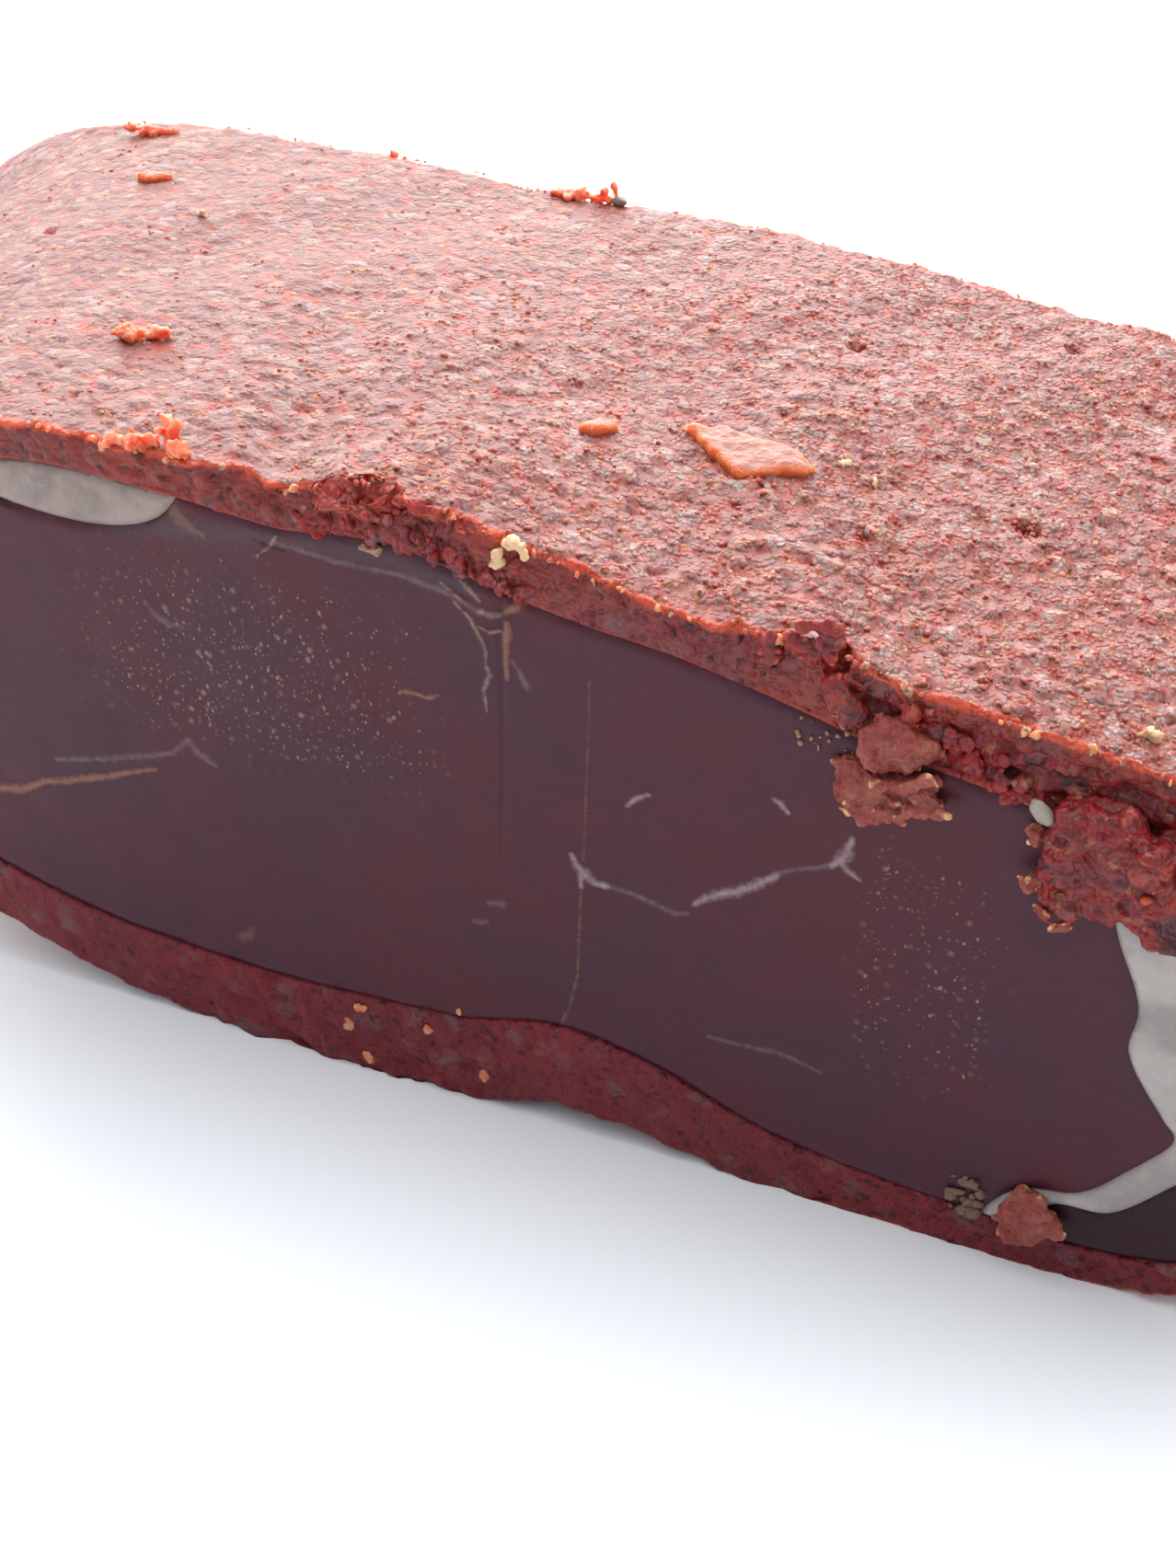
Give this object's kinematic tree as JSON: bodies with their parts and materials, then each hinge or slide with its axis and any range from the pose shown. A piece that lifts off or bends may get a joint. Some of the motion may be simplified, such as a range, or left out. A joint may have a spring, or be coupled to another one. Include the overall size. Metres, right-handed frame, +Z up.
{
  "type": "chunk of pastirma",
  "caption": "Chunk of air-dried cured beef cut from a slab: dark lean face with a fat seam and veins, in a grainy red spice-paste crust with crumbs.",
  "frame": {"origin": "middle of the piece's footprint, on the surface that it rests on", "axes": "+X along the cut face, towards the end with the fat seam; +Y from the front cut to the back cut; +Z up through the slab's thickness"},
  "size_m": [0.1036, 0.0428, 0.0338],
  "materials": {
    "cemen": "grainy dried spice paste, dull red with pale and dark grains, slightly moist in its cracks",
    "lean": "dark maroon dried meat, semi-gloss cut face with fine pale veins",
    "fat": "off-white waxy fat, soft sheen"
  },
  "bodies": {
    "root": {"cemen_coating": "cemen", "cemen_chunk": "cemen", "lean_main": "lean", "lean_side": "lean", "fat_seam": "fat", "fat_cap": "fat"}
  },
  "joints": []
}
